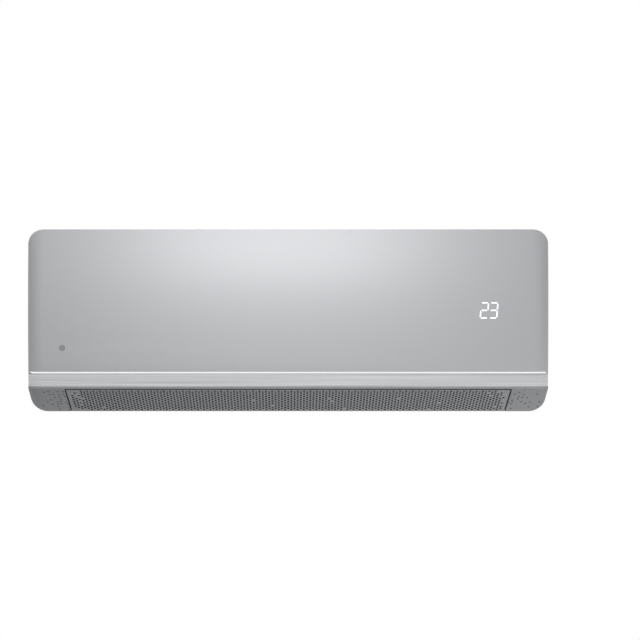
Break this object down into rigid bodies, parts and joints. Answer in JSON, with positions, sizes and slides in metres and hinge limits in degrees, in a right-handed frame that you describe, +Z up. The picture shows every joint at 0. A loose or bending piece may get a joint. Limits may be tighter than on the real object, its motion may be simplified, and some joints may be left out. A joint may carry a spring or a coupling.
{
  "type": "mini split indoor unit",
  "caption": "Wall-hung mini split indoor unit with a silver hinged front panel, brushed trim, perforated louvre and working air vanes.",
  "frame": {"origin": "middle of the wall plate's back face, at half the case's width and height", "axes": "+X to the right as seen from the room, +Y into the wall, +Z up; the front faces -Y"},
  "size_m": [0.85, 0.205, 0.3],
  "materials": {
    "silver_paint": "satin",
    "brushed_trim": "brushed",
    "grey_plastic": "matte",
    "dark_plastic": "matte",
    "white_plastic": "matte",
    "fan_plastic": "satin",
    "filter_plastic": "matte",
    "dark_lens": "gloss",
    "circuit_board": "satin",
    "galvanised_steel": "spangled",
    "steel": "turned",
    "fin_aluminium": "fin stock",
    "copper": "drawn",
    "brass": "turned",
    "rubber": "matte",
    "foam": "matte"
  },
  "bodies": {
    "root": {"trim_strip": "brushed_trim", "top_grille": "dark_plastic", "cabinet": "grey_plastic", "wall_plate": "galvanised_steel", "chassis": "dark_plastic", "drain_pan": "white_plastic", "drain_spigot": "rubber", "evaporator_front_lower": "fin_aluminium", "evaporator_front_upper": "fin_aluminium", "evaporator_rear": "fin_aluminium", "coil_end_plate_left": "galvanised_steel", "coil_end_plate_right": "galvanised_steel", "coil_sensor": "copper", "bearing_holder": "white_plastic", "bearing_bush": "rubber", "fan_motor": "galvanised_steel", "motor_clamp": "galvanised_steel", "louvre_motor": "white_plastic", "electrical_box": "grey_plastic", "electrical_box_cover": "galvanised_steel", "control_board": "circuit_board", "terminal_block": "white_plastic", "display_board": "circuit_board", "room_sensor": "white_plastic", "gas_pipe": "copper", "liquid_pipe": "copper", "gas_flare_nut": "brass", "liquid_flare_nut": "brass", "pipe_insulation": "foam", "cabinet_screw_left": "steel", "cabinet_screw_right": "steel"},
    "front_panel": {"front_panel": "silver_paint", "receiver_window": "dark_lens"},
    "louvre": {"louvre": "grey_plastic"},
    "fan": {"cross_flow_fan": "fan_plastic", "fan_stub_shaft": "steel", "motor_shaft": "steel"},
    "filter_left": {"filter_left": "filter_plastic"},
    "filter_right": {"filter_right": "filter_plastic"},
    "emergency_button": {"emergency_button": "white_plastic"},
    "vane_link_left": {"vane_link_left": "white_plastic"},
    "vane_link_right": {"vane_link_right": "white_plastic"},
    "air_vane_1": {"air_vane_1": "dark_plastic"},
    "air_vane_2": {"air_vane_2": "dark_plastic"},
    "air_vane_3": {"air_vane_3": "dark_plastic"},
    "air_vane_4": {"air_vane_4": "dark_plastic"},
    "air_vane_5": {"air_vane_5": "dark_plastic"},
    "air_vane_6": {"air_vane_6": "dark_plastic"},
    "air_vane_7": {"air_vane_7": "dark_plastic"},
    "air_vane_8": {"air_vane_8": "dark_plastic"},
    "air_vane_9": {"air_vane_9": "dark_plastic"},
    "air_vane_10": {"air_vane_10": "dark_plastic"},
    "air_vane_11": {"air_vane_11": "dark_plastic"},
    "air_vane_12": {"air_vane_12": "dark_plastic"}
  },
  "joints": [
    {"name": "front_panel_hinge", "type": "hinge", "parent": "root", "child": "front_panel", "pos_m": [0, -0.1855, 0.1435], "axis": [-1, 0, 0], "range_deg": [0, 65]},
    {"name": "louvre_hinge", "type": "hinge", "parent": "root", "child": "louvre", "pos_m": [0, -0.12889, -0.1435], "axis": [1, 0, 0], "range_deg": [0, 80]},
    {"name": "fan_spin", "type": "hinge", "parent": "root", "child": "fan", "pos_m": [0, -0.092, -0.034], "axis": [1, 0, 0], "continuous": true},
    {"name": "filter_left_slide", "type": "slide", "parent": "root", "child": "filter_left", "axis": [0, 0, 1], "range_m": [0, 0.2]},
    {"name": "filter_right_slide", "type": "slide", "parent": "root", "child": "filter_right", "axis": [0, 0, 1], "range_m": [0, 0.2]},
    {"name": "emergency_button_press", "type": "slide", "parent": "root", "child": "emergency_button", "axis": [0, 1, 0], "range_m": [0, 0.0015], "stiffness_N_per_m": 400},
    {"name": "air_vane_1_swing", "type": "hinge", "parent": "root", "child": "air_vane_1", "pos_m": [-0.324, -0.09385, -0.13498], "axis": [0, -0.3291, 0.9443], "range_deg": [-40, 40]},
    {"name": "air_vane_2_swing", "type": "hinge", "parent": "root", "child": "air_vane_2", "pos_m": [-0.26509, -0.09385, -0.13498], "axis": [0, -0.3291, 0.9443], "range_deg": [-40, 40]},
    {"name": "air_vane_3_swing", "type": "hinge", "parent": "root", "child": "air_vane_3", "pos_m": [-0.20618, -0.09385, -0.13498], "axis": [0, -0.3291, 0.9443], "range_deg": [-40, 40]},
    {"name": "air_vane_4_swing", "type": "hinge", "parent": "root", "child": "air_vane_4", "pos_m": [-0.14727, -0.09385, -0.13498], "axis": [0, -0.3291, 0.9443], "range_deg": [-40, 40]},
    {"name": "air_vane_5_swing", "type": "hinge", "parent": "root", "child": "air_vane_5", "pos_m": [-0.08836, -0.09385, -0.13498], "axis": [0, -0.3291, 0.9443], "range_deg": [-40, 40]},
    {"name": "air_vane_6_swing", "type": "hinge", "parent": "root", "child": "air_vane_6", "pos_m": [-0.02945, -0.09385, -0.13498], "axis": [0, -0.3291, 0.9443], "range_deg": [-40, 40]},
    {"name": "vane_link_left_pivot", "type": "hinge", "parent": "air_vane_1", "child": "vane_link_left", "pos_m": [-0.324, -0.11436, -0.11565], "axis": [0, -0.3291, 0.9443], "range_deg": [-40, 40]},
    {"name": "air_vane_7_swing", "type": "hinge", "parent": "root", "child": "air_vane_7", "pos_m": [0.02945, -0.09385, -0.13498], "axis": [0, -0.3291, 0.9443], "range_deg": [-40, 40]},
    {"name": "air_vane_8_swing", "type": "hinge", "parent": "root", "child": "air_vane_8", "pos_m": [0.08836, -0.09385, -0.13498], "axis": [0, -0.3291, 0.9443], "range_deg": [-40, 40]},
    {"name": "air_vane_9_swing", "type": "hinge", "parent": "root", "child": "air_vane_9", "pos_m": [0.14727, -0.09385, -0.13498], "axis": [0, -0.3291, 0.9443], "range_deg": [-40, 40]},
    {"name": "air_vane_10_swing", "type": "hinge", "parent": "root", "child": "air_vane_10", "pos_m": [0.20618, -0.09385, -0.13498], "axis": [0, -0.3291, 0.9443], "range_deg": [-40, 40]},
    {"name": "air_vane_11_swing", "type": "hinge", "parent": "root", "child": "air_vane_11", "pos_m": [0.26509, -0.09385, -0.13498], "axis": [0, -0.3291, 0.9443], "range_deg": [-40, 40]},
    {"name": "air_vane_12_swing", "type": "hinge", "parent": "root", "child": "air_vane_12", "pos_m": [0.324, -0.09385, -0.13498], "axis": [0, -0.3291, 0.9443], "range_deg": [-40, 40]},
    {"name": "vane_link_right_pivot", "type": "hinge", "parent": "air_vane_7", "child": "vane_link_right", "pos_m": [0.02945, -0.11436, -0.11565], "axis": [0, -0.3291, 0.9443], "range_deg": [-40, 40]}
  ],
  "couplings": [
    {"joint": "air_vane_2_swing", "follows": "air_vane_1_swing", "ratio": 1},
    {"joint": "air_vane_3_swing", "follows": "air_vane_1_swing", "ratio": 1},
    {"joint": "air_vane_4_swing", "follows": "air_vane_1_swing", "ratio": 1},
    {"joint": "air_vane_5_swing", "follows": "air_vane_1_swing", "ratio": 1},
    {"joint": "air_vane_6_swing", "follows": "air_vane_1_swing", "ratio": 1},
    {"joint": "vane_link_left_pivot", "follows": "air_vane_1_swing", "ratio": -1},
    {"joint": "air_vane_8_swing", "follows": "air_vane_7_swing", "ratio": 1},
    {"joint": "air_vane_9_swing", "follows": "air_vane_7_swing", "ratio": 1},
    {"joint": "air_vane_10_swing", "follows": "air_vane_7_swing", "ratio": 1},
    {"joint": "air_vane_11_swing", "follows": "air_vane_7_swing", "ratio": 1},
    {"joint": "air_vane_12_swing", "follows": "air_vane_7_swing", "ratio": 1},
    {"joint": "vane_link_right_pivot", "follows": "air_vane_7_swing", "ratio": -1}
  ]
}
